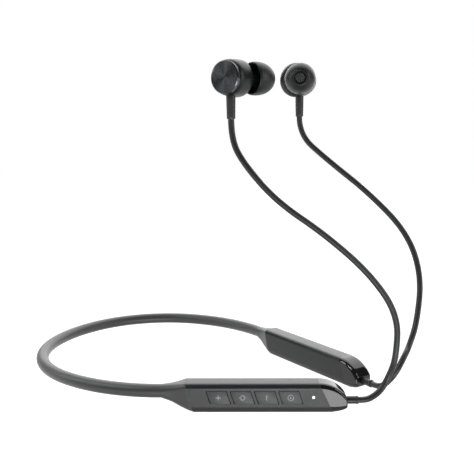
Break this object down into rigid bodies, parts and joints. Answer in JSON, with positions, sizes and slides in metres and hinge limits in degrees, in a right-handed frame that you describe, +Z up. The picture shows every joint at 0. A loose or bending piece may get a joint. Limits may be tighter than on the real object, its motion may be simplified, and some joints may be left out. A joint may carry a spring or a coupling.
{
  "type": "neckband earphones",
  "caption": "Wireless neckband earphones: flexible neckband, control pod with side buttons, battery pod, two cabled in-ear buds with silicone tips.",
  "frame": {"origin": "centre line of the neckband at the middle of its back, where it rests on the nape", "axes": "+X from the nape forwards to the opening between the pods; +Y to the wearer's left; +Z up towards the earbuds"},
  "size_m": [0.1621, 0.1044, 0.1306],
  "materials": {
    "band_silicone": "matte",
    "pod_plastic": "satin",
    "end_gloss": "gloss",
    "button_plastic": "satin",
    "bud_plastic": "satin",
    "cap_aluminium": "spun",
    "tip_silicone": "satin",
    "cable_jacket": "satin",
    "mesh_steel": "woven",
    "port_steel": "satin",
    "spring_steel": "satin",
    "board_green": "satin",
    "chip_black": "matte",
    "lamp_clear": "clear",
    "cell_foil": "satin",
    "foam_grey": "matte",
    "driver_metal": "satin",
    "magnet_steel": "gloss",
    "clamp_brass": "satin",
    "switch_steel": "gloss"
  },
  "bodies": {
    "neckband": {"band_sleeve": "band_silicone", "spring_wire": "spring_steel", "link_cable": "cable_jacket"},
    "right_pod": {"right_housing": "pod_plastic", "right_lid": "pod_plastic", "right_nose": "end_gloss", "right_cable_relief": "cable_jacket", "right_wire_clamp": "clamp_brass", "right_cap": "cap_aluminium", "right_magnet": "magnet_steel", "right_barrel": "bud_plastic", "right_driver": "driver_metal", "right_front_housing": "bud_plastic", "right_nozzle_mesh": "mesh_steel", "right_stem": "cable_jacket", "right_cable": "cable_jacket", "control_board": "board_green", "radio_module": "chip_black", "status_lamp": "lamp_clear", "lamp_window": "lamp_clear", "microphone": "chip_black", "charging_port": "port_steel", "volume_up_switch": "switch_steel", "power_switch": "switch_steel", "volume_down_switch": "switch_steel", "play_switch": "switch_steel"},
    "left_pod": {"left_housing": "pod_plastic", "left_lid": "pod_plastic", "left_nose": "end_gloss", "left_cable_relief": "cable_jacket", "left_wire_clamp": "clamp_brass", "left_cap": "cap_aluminium", "left_magnet": "magnet_steel", "left_barrel": "bud_plastic", "left_driver": "driver_metal", "left_front_housing": "bud_plastic", "left_nozzle_mesh": "mesh_steel", "left_stem": "cable_jacket", "left_cable": "cable_jacket", "battery_cell": "cell_foil", "charge_board": "board_green", "battery_pad": "foam_grey"},
    "volume_up_key": {"volume_up_button": "button_plastic"},
    "power_key": {"power_button": "button_plastic"},
    "volume_down_key": {"volume_down_button": "button_plastic"},
    "play_key": {"play_button": "button_plastic"},
    "right_tip": {"right_ear_tip": "tip_silicone"},
    "left_tip": {"left_ear_tip": "tip_silicone"}
  },
  "joints": [
    {"name": "right_arm_flex", "type": "hinge", "parent": "neckband", "child": "right_pod", "pos_m": [0.0125, -0.034, 0], "axis": [0, 0, -1], "range_deg": [-0.5, 15], "stiffness_Nm_per_rad": 0.4, "deforming": ["band_sleeve", "spring_wire", "link_cable"]},
    {"name": "left_arm_flex", "type": "hinge", "parent": "neckband", "child": "left_pod", "pos_m": [0.0125, 0.034, 0], "axis": [0, 0, 1], "range_deg": [-0.5, 15], "stiffness_Nm_per_rad": 0.4, "deforming": ["band_sleeve", "spring_wire", "link_cable"]},
    {"name": "volume_up_press", "type": "slide", "parent": "right_pod", "child": "volume_up_key", "axis": [-0.4602, 0.8878, 0], "range_m": [0, 0.00025], "stiffness_N_per_m": 800},
    {"name": "power_press", "type": "slide", "parent": "right_pod", "child": "power_key", "axis": [-0.4602, 0.8878, 0], "range_m": [0, 0.00025], "stiffness_N_per_m": 800},
    {"name": "volume_down_press", "type": "slide", "parent": "right_pod", "child": "volume_down_key", "axis": [-0.4602, 0.8878, 0], "range_m": [0, 0.00025], "stiffness_N_per_m": 800},
    {"name": "play_press", "type": "slide", "parent": "right_pod", "child": "play_key", "axis": [-0.4602, 0.8878, 0], "range_m": [0, 0.00025], "stiffness_N_per_m": 800},
    {"name": "right_tip_pull", "type": "slide", "parent": "right_pod", "child": "right_tip", "axis": [0.4648, 0.8851, 0.0243], "range_m": [0, 0.004]},
    {"name": "left_tip_pull", "type": "slide", "parent": "left_pod", "child": "left_tip", "axis": [0.3714, -0.9282, -0.0243], "range_m": [0, 0.004]}
  ]
}
